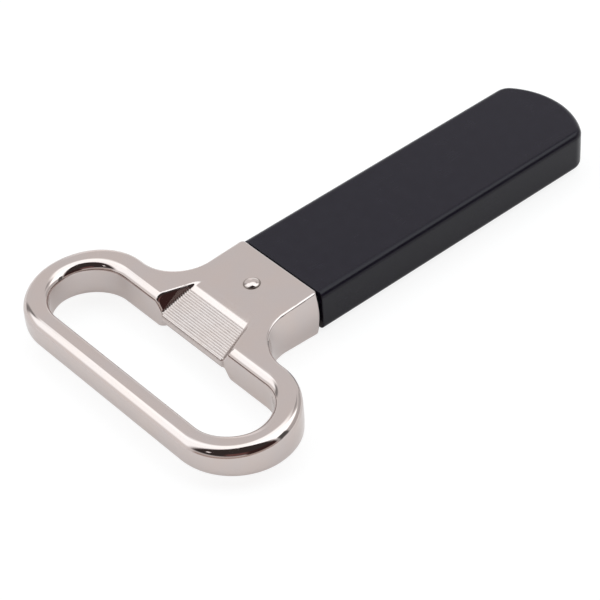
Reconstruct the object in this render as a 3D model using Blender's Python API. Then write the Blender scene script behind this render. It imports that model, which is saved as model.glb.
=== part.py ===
"""Two-prong cork puller with a looped cast handle, two riveted blades and a slip-on sheath.

Metres, +Z up. The blades lie along +Y, side by side in X, and the tool lies flat. The design
frame has its origin at the middle of the handle's end face, where the blades leave it.
"""
import math

import bmesh
import bpy
from mathutils import Vector

# Handle: the block that holds the blades
BLOCK_WIDTH = 0.0285
BLOCK_THICKNESS = 0.0127
BLOCK_EDGE_RADIUS = 0.0006
BLOCK_END_RADIUS = 0.0004
BLOCK_CORNER_RADIUS = 0.0010
BLOCK_SIDE_CROWN = 0.0010
NECK_ARC_RADIUS = 0.0106
NECK_EDGE_RADIUS = 0.0011

# Handle: the finger loop
LOOP_LENGTH = 0.08336
LOOP_END_RADIUS = 0.01573
LOOP_CENTRE_FROM_JOINT = 0.03645
LOOP_THICKNESS = 0.0093
LOOP_EDGE_RADIUS = 0.0024
LOOP_SIDE_CROWN = 0.0003
END_BAR_WIDTH = 0.00655
FRONT_BAR_WIDTH = 0.00562
BACK_BAR_WIDTH = 0.00624
OPENING_BACK_EDGE_RADIUS = 0.0021
OPENING_FRONT_EDGE_RADIUS = 0.0012

# Handle: the cap-lifter tooth and its two ribbed ramps
RAMP_START_FROM_JOINT = 0.0170
TOOTH_TIP_FROM_JOINT = 0.0274
TOOTH_THICKNESS = 0.0023
TOOTH_WIDTH = 0.0218
RAMP_START_WIDTH = 0.0193
RAMP_TIP_WIDTH = 0.0224
RECESS_MOUTH_WIDTH = 0.0276
RIB_COUNT = 14
RIB_PITCH = 0.00061
RIB_GROOVE_DEPTH = 0.00013
RIB_GROOVE_WIDTH = 0.00026
PLAIN_BAND_LENGTH = 0.00227

# Rivet
RIVET_FROM_JOINT = 0.0085
RIVET_RADIUS = 0.0012
RIVET_HEAD_RADIUS = 0.00175
RIVET_HEAD_RISE = 0.00085
RIVET_HEAD_RIM = 0.0003
RIVET_TAIL_RADIUS = 0.0021
RIVET_TAIL_INSET = 0.0002

# Blades
BLADE_THICKNESS = 0.0009
BLADE_TIP_THICKNESS = 0.00045
LONG_BLADE_REACH = 0.0845
SHORT_BLADE_REACH = 0.0735
BLADE_TIP_WIDTH = 0.0052
BLADE_HOLLOW = 0.0004
BLADE_TOE_IN = 0.0008
BLADE_FLAT_ROOT = 0.0040
BLADE_BLEND = 0.0120
EAR_RADIUS = 0.0040
EAR_BEND_RADIUS = 0.0009
EAR_RELIEF_START = 0.0035
EAR_RELIEF_END = 0.0015

# Sheath
SHEATH_WIDTH = 0.0279
SHEATH_THICKNESS = 0.01126
SHEATH_LENGTH = 0.09225
SHEATH_WALL = 0.0016
SHEATH_TIP_WALL = 0.0020
SHEATH_EDGE_RADIUS = 0.0017
SHEATH_TIP_RADIUS = 0.0202
SHEATH_CORNER_RADIUS = 0.0046
SHEATH_INNER_EDGE_RADIUS = 0.0006

# Clearances and cutting allowance
SEAT_GAP = 0.0003
JOINT_GAP = 0.0003
CUT_OVERRUN = 0.0030

# Smoothness: segments per feature
EDGE_SEGMENTS = 4
SIDE_SEGMENTS = 4
CORNER_SEGMENTS = 4
NECK_SEGMENTS = 10
LOOP_END_SEGMENTS = 30
OPENING_END_SEGMENTS = 24
TIP_ARC_SEGMENTS = 16
ROUND_SEGMENTS = 32
DOME_SEGMENTS = 5
BLADE_BODY_SEGMENTS = 12
BLADE_TIP_SEGMENTS = 5
BLADE_WIDTH_SEGMENTS = 4
EAR_ROWS = 8
EAR_BEND_SEGMENTS = 3
EAR_FLAT_SEGMENTS = 5

# Sizes that follow from the ones above
FRONT_BAR_FROM_JOINT = LOOP_CENTRE_FROM_JOINT + LOOP_END_RADIUS
WEDGE_SLOPE = (BLOCK_THICKNESS - LOOP_THICKNESS) / 2 / LOOP_CENTRE_FROM_JOINT
OPENING_LENGTH = LOOP_LENGTH - 2 * END_BAR_WIDTH
OPENING_END_RADIUS = LOOP_END_RADIUS - (FRONT_BAR_WIDTH + BACK_BAR_WIDTH) / 2
OPENING_BACK_FROM_JOINT = LOOP_CENTRE_FROM_JOINT - LOOP_END_RADIUS + BACK_BAR_WIDTH
OPENING_CENTRE_FROM_JOINT = OPENING_BACK_FROM_JOINT + OPENING_END_RADIUS
CAVITY_HALF_WIDTH = SHEATH_WIDTH / 2 - SHEATH_WALL
CAVITY_HALF_HEIGHT = SHEATH_THICKNESS / 2 - SHEATH_WALL
BLADE_OUTER = CAVITY_HALF_WIDTH - SEAT_GAP
BLADE_MIDDLE = BLADE_OUTER - BLADE_THICKNESS / 2
BLADE_HALF_WIDTH = CAVITY_HALF_HEIGHT - SEAT_GAP
EAR_LEVEL = BLADE_HALF_WIDTH - BLADE_THICKNESS / 2
CENTRE_FROM_JOINT = (JOINT_GAP + SHEATH_LENGTH - FRONT_BAR_FROM_JOINT) / 2


def clear_scene():
    for item in list(bpy.data.objects):
        bpy.data.objects.remove(item, do_unlink=True)


def smooth_step(share):
    share = min(max(share, 0.0), 1.0)
    return share * share * (3 - 2 * share)


def blend(start, end, share):
    return start + (end - start) * share


def make_material(name, color, metallic, roughness):
    material = bpy.data.materials.new(name)
    material.use_nodes = True
    shader = material.node_tree.nodes["Principled BSDF"]
    shader.inputs["Base Color"].default_value = (*color, 1)
    shader.inputs["Metallic"].default_value = metallic
    shader.inputs["Roughness"].default_value = roughness
    material.diffuse_color = (*color, 1)
    return material


def make_object(name, bm, parent, material=None):
    bmesh.ops.recalc_face_normals(bm, faces=bm.faces)
    mesh = bpy.data.meshes.new(name)
    bm.to_mesh(mesh)
    bm.free()
    mesh.shade_smooth()
    mesh.set_sharp_from_angle(angle=math.radians(30))
    item = bpy.data.objects.new(name, mesh)
    bpy.context.scene.collection.objects.link(item)
    item.parent = parent
    if material:
        mesh.materials.append(material)
    return item


def make_cutter(name, bm, parent):
    item = make_object(name, bm, parent)
    item.hide_render = True
    item.display_type = "WIRE"
    return item


def combine(item, other, operation):
    step = item.modifiers.new(f"{operation.title()} {other.name}", "BOOLEAN")
    step.operation = operation
    step.solver = "EXACT"
    step.object = other


def box(bm, low, high):
    corners = [
        bm.verts.new((x, y, z))
        for x in (low[0], high[0])
        for y in (low[1], high[1])
        for z in (low[2], high[2])
    ]
    for face in ((0, 1, 3, 2), (4, 6, 7, 5), (0, 4, 5, 1), (2, 3, 7, 6), (0, 2, 6, 4), (1, 5, 7, 3)):
        bm.faces.new([corners[index] for index in face])


def lathe(bm, centre, profile):
    """Turn a profile of (radius, height) points about a vertical line; both ends are capped."""
    rings = []
    for radius, height in profile:
        ring = []
        for step in range(ROUND_SEGMENTS):
            angle = 2 * math.pi * step / ROUND_SEGMENTS
            spot = (centre[0] + radius * math.cos(angle), centre[1] + radius * math.sin(angle), height)
            ring.append(bm.verts.new(spot))
        rings.append(ring)
    for lower, upper in zip(rings, rings[1:]):
        for step in range(ROUND_SEGMENTS):
            after = (step + 1) % ROUND_SEGMENTS
            bm.faces.new((lower[step], lower[after], upper[after], upper[step]))
    bm.faces.new(rings[0])
    bm.faces.new(rings[-1])


class Station:
    """A point of a plan outline: where it is, which way the material lies, how its edge is shaped."""

    def __init__(self, x, y, inward_x, inward_y, edge_radius, crown=0.0):
        self.x = x
        self.y = y
        self.inward_x = inward_x
        self.inward_y = inward_y
        self.edge_radius = edge_radius
        self.crown = crown


def arc_stations(centre, radius, start, end, segments, inward, shape):
    """Stations along an arc. inward is 1 where the material is towards the centre, else -1."""
    stations = []
    for step in range(segments + 1):
        share = step / segments
        angle = math.radians(blend(start, end, share))
        x = centre[0] + radius * math.cos(angle)
        y = centre[1] + radius * math.sin(angle)
        edge_radius, crown = shape(share)
        stations.append(Station(x, y, -inward * math.cos(angle), -inward * math.sin(angle), edge_radius, crown))
    return stations


def mirrored(stations):
    return [Station(-s.x, s.y, -s.inward_x, s.inward_y, s.edge_radius, s.crown) for s in reversed(stations)]


def rounded_rings(bm, stations, half_thickness, side_segments=1):
    """Rings from the top face over the rounded edge, down the side and in again to the bottom face."""
    turns = [math.pi / 2 * step / EDGE_SEGMENTS for step in range(EDGE_SEGMENTS + 1)]
    edge_shares = [(1 - math.cos(turn), 1 - math.sin(turn)) for turn in turns]
    side_shares = [1 - 2 * step / side_segments for step in range(1, side_segments)]
    levels = [(drop, inset, 1) for drop, inset in edge_shares]
    levels += [(1, 0, side) for side in side_shares]
    levels += [(drop, inset, -1) for drop, inset in reversed(edge_shares)]
    rings = []
    for drop, inset, side in levels:
        ring = []
        for s in stations:
            height_share = side * (1 - drop * s.edge_radius / half_thickness(s.y))
            inward = s.edge_radius * inset + s.crown * height_share ** 2
            x = s.x + s.inward_x * inward
            y = s.y + s.inward_y * inward
            ring.append(bm.verts.new((x, y, side * (half_thickness(y) - drop * s.edge_radius))))
        rings.append(ring)
    return rings


def bridge_rings(bm, rings, closed):
    count = len(rings[0])
    last = count if closed else count - 1
    for upper, lower in zip(rings, rings[1:]):
        for step in range(last):
            after = (step + 1) % count
            bm.faces.new((upper[step], upper[after], lower[after], lower[step]))


def wedge_half_thickness(y):
    """Half the handle's thickness: thickest at the blades, thinner towards the front bar."""
    return BLOCK_THICKNESS / 2 + y * WEDGE_SLOPE


def handle_outline():
    """The handle's plan, from the middle of its end face round by +X to the front bar and back."""
    half_width = BLOCK_WIDTH / 2
    corner = (half_width - BLOCK_CORNER_RADIUS, -BLOCK_CORNER_RADIUS)
    loop_end = (LOOP_LENGTH / 2 - LOOP_END_RADIUS, -LOOP_CENTRE_FROM_JOINT)
    neck_x = half_width + NECK_ARC_RADIUS
    reach = LOOP_END_RADIUS + NECK_ARC_RADIUS
    neck_y = loop_end[1] + math.sqrt(reach ** 2 - (loop_end[0] - neck_x) ** 2)
    meeting = math.degrees(math.atan2(neck_y - loop_end[1], neck_x - loop_end[0]))

    def corner_shape(share):
        return blend(BLOCK_END_RADIUS, BLOCK_EDGE_RADIUS, share), BLOCK_SIDE_CROWN * share

    def neck_shape(share):
        return (
            blend(BLOCK_EDGE_RADIUS, NECK_EDGE_RADIUS, smooth_step(share)),
            blend(BLOCK_SIDE_CROWN, LOOP_SIDE_CROWN, smooth_step(share)),
        )

    def loop_shape(share):
        return blend(NECK_EDGE_RADIUS, LOOP_EDGE_RADIUS, smooth_step(2 * share)), LOOP_SIDE_CROWN

    right = arc_stations(corner, BLOCK_CORNER_RADIUS, 90, 0, CORNER_SEGMENTS, 1, corner_shape)
    right += arc_stations((neck_x, neck_y), NECK_ARC_RADIUS, 180, 180 + meeting, NECK_SEGMENTS, -1, neck_shape)
    right += arc_stations(loop_end, LOOP_END_RADIUS, meeting, -90, LOOP_END_SEGMENTS, 1, loop_shape)[1:]
    return right + mirrored(right)


def opening_outline():
    """The finger opening's plan, from the middle of its back wall round by +X."""
    centre = (OPENING_LENGTH / 2 - OPENING_END_RADIUS, -OPENING_CENTRE_FROM_JOINT)

    def shape(share):
        return blend(OPENING_BACK_EDGE_RADIUS, OPENING_FRONT_EDGE_RADIUS, smooth_step(2 * share - 1)), 0.0

    right = arc_stations(centre, OPENING_END_RADIUS, 90, -90, OPENING_END_SEGMENTS, -1, shape)
    return right + mirrored(right)


def ramp_point(along):
    """A point of the upper ramp's slope, along being measured down the slope from its start."""
    start = Vector((0, -RAMP_START_FROM_JOINT, wedge_half_thickness(-RAMP_START_FROM_JOINT)))
    tip = Vector((0, -TOOTH_TIP_FROM_JOINT, TOOTH_THICKNESS / 2))
    return start + (tip - start).normalized() * along


def ramp_length():
    start = ramp_point(0)
    return (Vector((0, -TOOTH_TIP_FROM_JOINT, TOOTH_THICKNESS / 2)) - start).length


def ramp_profile():
    """The recess in side view: the slope with its ribs' grooves, then clear of the handle."""
    slope = (ramp_point(ramp_length()) - ramp_point(0)).normalized()
    into_metal = Vector((0, slope.z, -slope.y)).normalized()
    if into_metal.z > 0:
        into_metal.negate()
    profile = [ramp_point(-CUT_OVERRUN)]
    for index in range(RIB_COUNT):
        middle = PLAIN_BAND_LENGTH + RIB_GROOVE_WIDTH / 2 + RIB_PITCH * index
        profile.append(ramp_point(middle - RIB_GROOVE_WIDTH / 2))
        profile.append(ramp_point(middle) + into_metal * RIB_GROOVE_DEPTH)
        profile.append(ramp_point(middle + RIB_GROOVE_WIDTH / 2))
    profile.append(ramp_point(ramp_length() + CUT_OVERRUN))
    ceiling = BLOCK_THICKNESS / 2 + CUT_OVERRUN
    profile.append(Vector((0, profile[-1].y, ceiling)))
    profile.append(Vector((0, profile[0].y, ceiling)))
    return profile


def recess_cutter(name, side, parent):
    """The space over one ramp. Its side walls flare towards the opening and lean outwards."""
    bm = bmesh.new()
    half_width = RECESS_MOUTH_WIDTH
    ends = []
    for x in (-half_width, half_width):
        ends.append([bm.verts.new((x, spot.y, spot.z)) for spot in ramp_profile()])
    count = len(ends[0])
    for step in range(count):
        after = (step + 1) % count
        bm.faces.new((ends[0][step], ends[0][after], ends[1][after], ends[1][step]))
    bm.faces.new(ends[0])
    bm.faces.new(ends[1])
    bmesh.ops.recalc_face_normals(bm, faces=bm.faces)
    start_height = wedge_half_thickness(-RAMP_START_FROM_JOINT)
    tip_height = wedge_half_thickness(-TOOTH_TIP_FROM_JOINT)
    for hand in (-1, 1):
        start = Vector((hand * RAMP_START_WIDTH / 2, -RAMP_START_FROM_JOINT, start_height))
        tip = Vector((hand * RAMP_TIP_WIDTH / 2, -TOOTH_TIP_FROM_JOINT, TOOTH_THICKNESS / 2))
        mouth = Vector((hand * RECESS_MOUTH_WIDTH / 2, -TOOTH_TIP_FROM_JOINT, tip_height))
        normal = (tip - start).cross(mouth - start).normalized()
        if normal.x * hand < 0:
            normal.negate()
        parts = bm.verts[:] + bm.edges[:] + bm.faces[:]
        cut = bmesh.ops.bisect_plane(bm, geom=parts, plane_co=start, plane_no=normal, clear_outer=True)
        rim = [part for part in cut["geom_cut"] if isinstance(part, bmesh.types.BMEdge)]
        bmesh.ops.edgeloop_fill(bm, edges=rim)
    if side < 0:
        bmesh.ops.scale(bm, vec=(1, 1, -1), verts=bm.verts)
    return make_cutter(name, bm, parent)


def slot_cutter(name, hand, parent):
    """The L-shaped slot for one blade's tang: upright at the side, flat across over the ear."""
    back = -RIVET_FROM_JOINT - EAR_RADIUS - SEAT_GAP
    outer = BLADE_OUTER + SEAT_GAP
    inner = BLADE_OUTER - BLADE_THICKNESS - SEAT_GAP
    top = BLADE_HALF_WIDTH + SEAT_GAP
    ear_bottom = BLADE_HALF_WIDTH - BLADE_THICKNESS - SEAT_GAP
    ear_end = -EAR_RADIUS - SEAT_GAP
    outline = ((outer, -top), (outer, top), (ear_end, top), (ear_end, ear_bottom), (inner, ear_bottom), (inner, -top))
    bm = bmesh.new()
    ends = []
    for y in (back, CUT_OVERRUN):
        ends.append([bm.verts.new((hand * x, y, hand * z)) for x, z in outline])
    for step in range(len(outline)):
        after = (step + 1) % len(outline)
        bm.faces.new((ends[0][step], ends[0][after], ends[1][after], ends[1][step]))
    bm.faces.new(ends[0])
    bm.faces.new(ends[1])
    return make_cutter(name, bm, parent)


def rivet_top():
    """The level of the handle's upper face at the rivet."""
    return wedge_half_thickness(-RIVET_FROM_JOINT)


def rivet_bore_cutter(parent):
    """Seat for the head above, bore, and a 45-degree countersink for the tail below."""
    head_floor = rivet_top() - RIVET_HEAD_RIM - SEAT_GAP
    head_seat = RIVET_HEAD_RADIUS + SEAT_GAP
    bore = RIVET_RADIUS + SEAT_GAP
    sink = RIVET_TAIL_RADIUS + RIVET_TAIL_INSET + SEAT_GAP * math.sqrt(2)
    profile = (
        (sink + CUT_OVERRUN, -rivet_top() - CUT_OVERRUN),
        (bore, sink - bore - rivet_top()),
        (bore, head_floor),
        (head_seat, head_floor),
        (head_seat, rivet_top() + CUT_OVERRUN),
    )
    bm = bmesh.new()
    lathe(bm, (0, -RIVET_FROM_JOINT), profile)
    return make_cutter("rivet_bore_cutter", bm, parent)


def make_handle(parent, material):
    """One casting: finger loop, neck block, cap-lifter tooth, blade slots and rivet bore."""
    bm = bmesh.new()
    outer = rounded_rings(bm, handle_outline(), wedge_half_thickness, SIDE_SEGMENTS)
    inner = rounded_rings(bm, opening_outline(), wedge_half_thickness)
    bridge_rings(bm, outer, closed=True)
    bridge_rings(bm, inner, closed=True)
    for end in (0, -1):
        rim = []
        for ring in (outer[end], inner[end]):
            for step, vert in enumerate(ring):
                rim.append(bm.edges.get((vert, ring[(step + 1) % len(ring)])))
        bmesh.ops.triangle_fill(bm, edges=rim, use_beauty=True)
    handle = make_object("handle", bm, parent, material)

    tongue = bmesh.new()
    reach = OPENING_BACK_FROM_JOINT - OPENING_BACK_EDGE_RADIUS - TOOTH_THICKNESS
    tall = LOOP_THICKNESS / 2 - OPENING_BACK_EDGE_RADIUS
    box(tongue, (-TOOTH_WIDTH / 2, -TOOTH_TIP_FROM_JOINT, -tall), (TOOTH_WIDTH / 2, -reach, tall))
    combine(handle, make_cutter("tooth_tongue", tongue, parent), "UNION")
    for side, word in ((1, "upper"), (-1, "lower")):
        combine(handle, recess_cutter(f"{word}_recess_cutter", side, parent), "DIFFERENCE")
    for hand, word in ((-1, "long"), (1, "short")):
        combine(handle, slot_cutter(f"{word}_slot_cutter", hand, parent), "DIFFERENCE")
    combine(handle, rivet_bore_cutter(parent), "DIFFERENCE")
    return handle


def make_rivet(parent, material):
    """Domed head in its seat on top, plain shank, tail set flush in the underside's countersink."""
    tail_end = RIVET_TAIL_INSET - rivet_top()
    rim_bottom = rivet_top() - RIVET_HEAD_RIM
    profile = [
        (RIVET_TAIL_RADIUS, tail_end),
        (RIVET_RADIUS, tail_end + RIVET_TAIL_RADIUS - RIVET_RADIUS),
        (RIVET_RADIUS, rim_bottom),
        (RIVET_HEAD_RADIUS, rim_bottom),
    ]
    sphere = (RIVET_HEAD_RADIUS ** 2 + RIVET_HEAD_RISE ** 2) / (2 * RIVET_HEAD_RISE)
    widest = math.asin(RIVET_HEAD_RADIUS / sphere)
    for step in range(DOME_SEGMENTS):
        angle = widest * (1 - step / DOME_SEGMENTS)
        level = rivet_top() + RIVET_HEAD_RISE - sphere * (1 - math.cos(angle))
        profile.append((sphere * math.sin(angle), level))
    bm = bmesh.new()
    lathe(bm, (0, 0), profile)
    rivet = make_object("rivet", bm, parent, material)
    rivet.location = (0, -RIVET_FROM_JOINT, 0)
    return rivet


def blade_station_list(reach):
    """Places along a blade from its root to its tip, with its half width at each."""
    tip_radius = BLADE_TIP_WIDTH / 2
    straight_end = reach - tip_radius
    places = [(-EAR_RELIEF_END, BLADE_HALF_WIDTH)]
    for step in range(BLADE_BODY_SEGMENTS + 1):
        share = step / BLADE_BODY_SEGMENTS
        y = blend(BLADE_FLAT_ROOT, straight_end, share)
        places.append((y, blend(BLADE_HALF_WIDTH, tip_radius, share)))
    for step in range(1, BLADE_TIP_SEGMENTS + 1):
        angle = math.pi / 2 * step / (BLADE_TIP_SEGMENTS + 1)
        places.append((straight_end + tip_radius * math.sin(angle), tip_radius * math.cos(angle)))
    return places


def make_blade(name, hand, reach, parent, material):
    """A sheet-metal blade: the blank's ear is folded over the tang and pierced for the rivet."""
    bm = bmesh.new()
    thinning = bm.verts.layers.deform.new()
    lean_start = Vector((BLADE_MIDDLE, EAR_LEVEL - EAR_BEND_RADIUS))
    rows = []

    ear_rows = []
    for step in range(EAR_ROWS + 1):
        turn = math.pi * (step / EAR_ROWS - 1 / 2)
        y = -RIVET_FROM_JOINT + EAR_RADIUS * math.sin(turn)
        rows.append((y, -BLADE_HALF_WIDTH, lean_start.y, 0.0, 0.0))
        ear_rows.append((y, -EAR_RADIUS * math.cos(turn)))
    rows.append((-EAR_RELIEF_START, -BLADE_HALF_WIDTH, lean_start.y, 0.0, 0.0))
    for y, half_width in blade_station_list(reach):
        curve = smooth_step((y - BLADE_FLAT_ROOT) / BLADE_BLEND)
        toe = smooth_step(y / reach)
        rows.append((y, -half_width, half_width, curve, toe))

    grid = []
    for y, low, high, curve, toe in rows:
        line = []
        for column in range(BLADE_WIDTH_SEGMENTS + 1):
            share = column / BLADE_WIDTH_SEGMENTS
            z = blend(low, high, share)
            hollow = curve * BLADE_HOLLOW * (z / BLADE_HALF_WIDTH) ** 2
            x = BLADE_MIDDLE - hollow - toe * BLADE_TOE_IN
            vert = bm.verts.new((hand * x, y, hand * z))
            vert[thinning][0] = 1 - toe * (1 - BLADE_TIP_THICKNESS / BLADE_THICKNESS)
            line.append(vert)
        grid.append(line)
    for line, after in zip(grid, grid[1:]):
        for column in range(BLADE_WIDTH_SEGMENTS):
            bm.faces.new((line[column], line[column + 1], after[column + 1], after[column]))

    folds = []
    for (y, ear_end), line in zip(ear_rows, grid):
        fold = [line[-1]]
        for step in range(1, EAR_BEND_SEGMENTS + 1):
            angle = math.pi / 2 * step / EAR_BEND_SEGMENTS
            x = BLADE_MIDDLE - EAR_BEND_RADIUS * (1 - math.cos(angle))
            z = lean_start.y + EAR_BEND_RADIUS * math.sin(angle)
            fold.append(bm.verts.new((hand * x, y, hand * z)))
        flat_start = BLADE_MIDDLE - EAR_BEND_RADIUS
        for step in range(1, EAR_FLAT_SEGMENTS + 1):
            x = blend(flat_start, ear_end, step / EAR_FLAT_SEGMENTS)
            fold.append(bm.verts.new((hand * x, y, hand * EAR_LEVEL)))
        for vert in fold[1:]:
            vert[thinning][0] = 1.0
        folds.append(fold)
    for fold, after in zip(folds, folds[1:]):
        for step in range(len(fold) - 1):
            bm.faces.new((fold[step], fold[step + 1], after[step + 1], after[step]))

    blade = make_object(name, bm, parent, material)
    blade.vertex_groups.new(name="thickness")
    sheet = blade.modifiers.new("Sheet thickness", "SOLIDIFY")
    sheet.thickness = BLADE_THICKNESS
    sheet.offset = 0
    sheet.use_even_offset = True
    sheet.vertex_group = "thickness"

    hole = bmesh.new()
    bore = RIVET_RADIUS + SEAT_GAP
    level = hand * EAR_LEVEL
    lathe(hole, (0, -RIVET_FROM_JOINT), ((bore, level - CUT_OVERRUN), (bore, level + CUT_OVERRUN)))
    combine(blade, make_cutter(f"{name}_hole_cutter", hole, parent), "DIFFERENCE")
    return blade


def sheath_chain(inset, start, edge_radius, tip_inset):
    """Half of the sheath's plan, from its mouth along +X to the tip, then its mirror image."""
    half_width = SHEATH_WIDTH / 2 - inset
    tip_radius = SHEATH_TIP_RADIUS - inset
    corner_radius = SHEATH_CORNER_RADIUS - inset
    tip_y = JOINT_GAP + SHEATH_LENGTH - tip_inset
    arc_centre = (0, tip_y - tip_radius)
    corner_x = half_width - corner_radius
    corner_y = arc_centre[1] + math.sqrt((tip_radius - corner_radius) ** 2 - corner_x ** 2)
    meeting = math.degrees(math.atan2(corner_y - arc_centre[1], corner_x))

    def shape(share):
        return edge_radius, 0.0

    right = [Station(half_width, start, -1, 0, edge_radius)]
    right += arc_stations((corner_x, corner_y), corner_radius, 0, meeting, CORNER_SEGMENTS, 1, shape)
    right += arc_stations(arc_centre, tip_radius, meeting, 90, TIP_ARC_SEGMENTS // 2, 1, shape)[1:]
    return right + mirrored(right)[1:]


def sheath_solid(bm, chain, half_thickness):
    rings = rounded_rings(bm, chain, lambda y: half_thickness)
    bridge_rings(bm, rings, closed=False)
    bm.faces.new(rings[0])
    bm.faces.new(rings[-1])
    bm.faces.new([ring[0] for ring in rings] + [ring[-1] for ring in reversed(rings)])


def make_sheath(parent, material):
    """A flat sleeve with soft long edges and a rounded closed tip, hollow for both blades."""
    bm = bmesh.new()
    chain = sheath_chain(0, JOINT_GAP, SHEATH_EDGE_RADIUS, 0)
    sheath_solid(bm, chain, SHEATH_THICKNESS / 2)
    sheath = make_object("sheath", bm, parent, material)

    cavity = bmesh.new()
    chain = sheath_chain(SHEATH_WALL, -CUT_OVERRUN, SHEATH_INNER_EDGE_RADIUS, SHEATH_TIP_WALL)
    sheath_solid(cavity, chain, CAVITY_HALF_HEIGHT)
    combine(sheath, make_cutter("sheath_cavity_cutter", cavity, parent), "DIFFERENCE")
    return sheath


def make_axis(name, parent, location):
    """An empty that carries pieces: its Y axis is the line along which the sheath slides."""
    empty = bpy.data.objects.new(name, None)
    bpy.context.scene.collection.objects.link(empty)
    empty.parent = parent
    empty.location = location
    return empty


def main():
    clear_scene()
    nickel = make_material("Nickel plate", (0.70, 0.66, 0.64), 1.0, 0.14)
    steel = make_material("Spring steel", (0.58, 0.58, 0.60), 1.0, 0.28)
    plastic = make_material("Black plastic", (0.038, 0.037, 0.044), 0.0, 0.48)

    puller = make_axis("cork_puller", None, (0, -CENTRE_FROM_JOINT, BLOCK_THICKNESS / 2))
    make_handle(puller, nickel)
    make_rivet(puller, nickel)
    make_blade("long_prong", -1, LONG_BLADE_REACH, puller, steel)
    make_blade("short_prong", 1, SHORT_BLADE_REACH, puller, steel)
    slide = make_axis("sheath_slide", puller, (0, 0, 0))
    make_sheath(slide, plastic)


main()
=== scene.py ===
"""Looks for the two-prong cork puller: nickel-plated handle, steel blades and a satin sheath.

Metres, +Z up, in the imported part's frame. The handle and the sheath are drawn as distance
fields, so that every cast edge has its own rounding, and the fields are then meshed.
"""
import math

import bmesh
import bpy
import numpy as np
from mathutils import Matrix, Vector


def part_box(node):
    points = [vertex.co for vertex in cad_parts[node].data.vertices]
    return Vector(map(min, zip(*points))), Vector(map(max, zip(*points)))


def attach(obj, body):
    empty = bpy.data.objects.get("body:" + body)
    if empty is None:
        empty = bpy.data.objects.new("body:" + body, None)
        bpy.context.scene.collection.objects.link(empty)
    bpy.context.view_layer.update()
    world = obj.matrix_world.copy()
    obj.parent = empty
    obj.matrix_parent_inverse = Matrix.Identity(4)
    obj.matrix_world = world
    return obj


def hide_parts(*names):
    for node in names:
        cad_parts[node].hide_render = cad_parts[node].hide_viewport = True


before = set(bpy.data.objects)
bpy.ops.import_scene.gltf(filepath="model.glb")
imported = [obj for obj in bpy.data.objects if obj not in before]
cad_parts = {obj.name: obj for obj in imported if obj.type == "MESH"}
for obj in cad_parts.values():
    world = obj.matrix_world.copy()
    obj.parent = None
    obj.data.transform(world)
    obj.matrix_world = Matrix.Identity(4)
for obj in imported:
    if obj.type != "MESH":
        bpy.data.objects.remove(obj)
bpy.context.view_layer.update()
HANDLE_LOW, HANDLE_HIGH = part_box("handle")
SHEATH_LOW, SHEATH_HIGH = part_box("sheath")
LONG_TIP_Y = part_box("long_prong")[1].y
SHORT_TIP_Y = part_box("short_prong")[1].y
RIVET_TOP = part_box("rivet")[1].z

# Where the blades leave the handle: the design frame's origin, on the handle's end face
JOINT_Y = HANDLE_HIGH.y

# Handle block
BLOCK_WIDTH = 0.0285
BLOCK_THICKNESS = 0.0127
BLOCK_EDGE_RADIUS = 0.00035
BLOCK_CORNER_RADIUS = 0.0010
BLOCK_SIDE_CROWN = 0.0010
NECK_ARC_RADIUS = 0.0106
NECK_EDGE_RADIUS = 0.0011

# Handle loop
LOOP_LENGTH = HANDLE_HIGH.x - HANDLE_LOW.x
LOOP_END_RADIUS = 0.01573
LOOP_CENTRE_FROM_JOINT = 0.03645
LOOP_THICKNESS = 0.0093
LOOP_EDGE_RADIUS = 0.0024
LOOP_SIDE_CROWN = 0.0003
END_BAR_WIDTH = 0.00655
FRONT_BAR_WIDTH = 0.00562
BACK_BAR_WIDTH = 0.00624
OPENING_BACK_EDGE_RADIUS = 0.0021
OPENING_FRONT_EDGE_RADIUS = 0.0012
# How many times wider than deep the opening's roundings are
OPENING_EDGE_SPREAD = 1.25

# Cap-lifter tooth and ribbed ramps
RAMP_START_FROM_JOINT = 0.0170
TOOTH_TIP_FROM_JOINT = 0.0274
TOOTH_THICKNESS = 0.0023
TOOTH_WIDTH = 0.0218
TOOTH_EDGE_RADIUS = 0.0003
RAMP_START_WIDTH = 0.0193
RAMP_TIP_WIDTH = 0.0224
RECESS_MOUTH_WIDTH = 0.0276
RECESS_FILLET = 0.00035
RECESS_BEVEL = 0.00045
SLOT_BEVEL = 0.00016
RIB_COUNT = 15
RIB_PITCH = 0.00061
RIB_GROOVE_DEPTH = 0.00008
RIB_GROOVE_WIDTH = 0.00044
PLAIN_BAND_LENGTH = 0.0024
# Share of a length along the ramp that is left of it in plan
RAMP_PLAN_SHARE = 0.93

# Rivet
RIVET_FROM_JOINT = 0.0085
RIVET_RADIUS = 0.0012
RIVET_HEAD_RADIUS = 0.0020
RIVET_HEAD_LIFT = 0.00001
RIVET_TAIL_RADIUS = 0.0021
RIVET_TAIL_INSET = 0.0002
RIVET_RIM_ROUNDING = 0.00012
RIVET_TAIL_DIMPLE = 0.00025
RIVET_DIMPLE_SHARE = 0.8
RIVET_DOME_POWER = 1.4
RIVET_DOME_SEGMENTS = 20
RIVET_DIMPLE_SEGMENTS = 8
RIVET_SHARP_ANGLE = 40
# Painted shade round the rim of its head: how strong, and from where on the casting and on the head
# itself
RIVET_RIM_SHADE = 0.8
RIVET_RIM_SHADE_OUTER = RIVET_HEAD_RADIUS * 1.11
RIVET_RIM_SHADE_INNER = RIVET_HEAD_RADIUS * 0.74

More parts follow.
